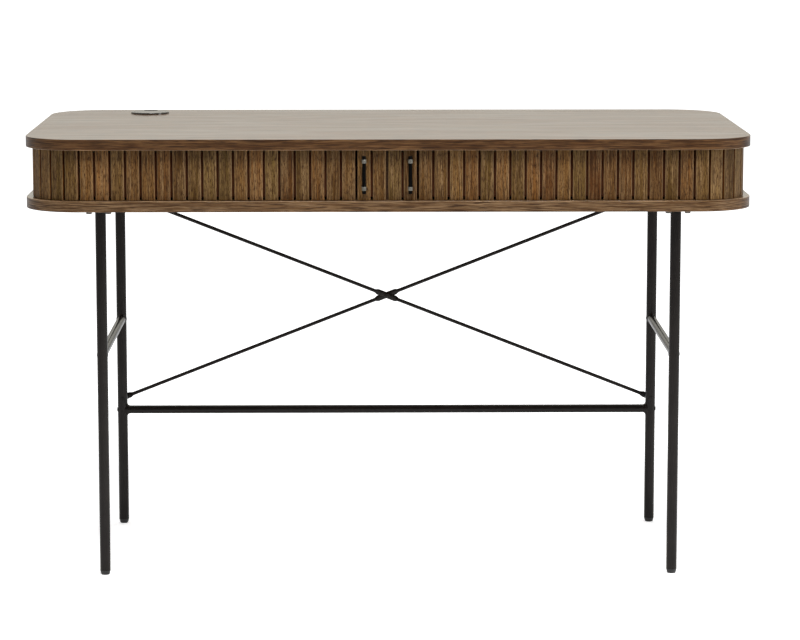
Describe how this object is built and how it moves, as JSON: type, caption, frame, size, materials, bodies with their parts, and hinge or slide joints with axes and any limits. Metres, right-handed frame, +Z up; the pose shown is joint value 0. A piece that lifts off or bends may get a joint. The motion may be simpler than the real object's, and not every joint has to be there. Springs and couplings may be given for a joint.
{
  "type": "tambour desk",
  "caption": "Writing desk with two rounded walnut panels, a sliding slatted tambour front round a shallow storage box, bar pulls, a cable grommet and slim black tube legs with a cross brace.",
  "frame": {"origin": "on the floor, under the middle of the two rounded panels", "axes": "+X to the desk's right as seen from the front, along its width; +Y to the back; +Z up. The front, with the pulls, faces -Y"},
  "size_m": [1.2, 0.6095, 0.749],
  "materials": {
    "walnut_veneer": "satin lacquer",
    "walnut_slats": "satin lacquer",
    "liner_board": "matt lacquer",
    "beech_dowel": "raw",
    "canvas": "woven",
    "black_steel": "satin powder coat",
    "black_bar": "satin",
    "satin_nickel": "satin",
    "zinc_screw": "plated",
    "black_plastic": "fine texture",
    "glide_plastic": "fine texture"
  },
  "bodies": {
    "desk": {"back_left_glide": "glide_plastic", "back_left_leg": "black_steel", "back_left_mounting_plate": "black_steel", "back_panel": "walnut_veneer", "back_right_glide": "glide_plastic", "back_right_leg": "black_steel", "back_right_mounting_plate": "black_steel", "back_stretcher": "black_steel", "bottom_panel": "walnut_veneer", "brace_bolts": "zinc_screw", "brace_rivet": "zinc_screw", "brace_spacers": "zinc_screw", "cable_grommet_sleeve": "black_plastic", "centre_wall": "liner_board", "front_brace_rod": "black_steel", "front_left_glide": "glide_plastic", "front_left_leg": "black_steel", "front_left_mounting_plate": "black_steel", "front_right_glide": "glide_plastic", "front_right_leg": "black_steel", "front_right_mounting_plate": "black_steel", "left_front_canvas": "canvas", "left_front_slats": "walnut_slats", "left_inner_back": "liner_board", "left_side_canvas": "canvas", "left_side_rail": "black_steel", "left_side_slats": "walnut_slats", "left_stretcher_saddle": "black_steel", "left_wall": "liner_board", "leg_bolts": "zinc_screw", "panel_dowels": "beech_dowel", "rear_brace_rod": "black_steel", "right_front_canvas": "canvas", "right_front_slats": "walnut_slats", "right_inner_back": "liner_board", "right_side_canvas": "canvas", "right_side_rail": "black_steel", "right_side_slats": "walnut_slats", "right_stretcher_saddle": "black_steel", "right_wall": "liner_board", "stretcher_bolts": "zinc_screw", "top_panel": "walnut_veneer", "wall_screws": "zinc_screw"},
    "left_door": {"left_lead_slats": "walnut_slats", "left_lead_canvas": "canvas", "left_pull_bar": "black_bar", "left_pull_posts": "satin_nickel", "left_pull_screws": "zinc_screw"},
    "right_door": {"right_lead_slats": "walnut_slats", "right_lead_canvas": "canvas", "right_pull_bar": "black_bar", "right_pull_posts": "satin_nickel", "right_pull_screws": "zinc_screw"},
    "grommet_cap": {"cable_grommet_cap": "black_plastic"}
  },
  "joints": [
    {"name": "left_door_slide", "type": "slide", "parent": "desk", "child": "left_door", "axis": [-1, 0, 0], "range_m": [0, 0.4527], "deforming": ["left_front_slats", "left_front_canvas"]},
    {"name": "right_door_slide", "type": "slide", "parent": "desk", "child": "right_door", "axis": [1, 0, 0], "range_m": [0, 0.4527], "deforming": ["right_front_slats", "right_front_canvas"]},
    {"name": "grommet_cap_turn", "type": "hinge", "parent": "desk", "child": "grommet_cap", "pos_m": [-0.4248, 0.224, 0.746], "axis": [0, 0, 1], "continuous": true}
  ]
}
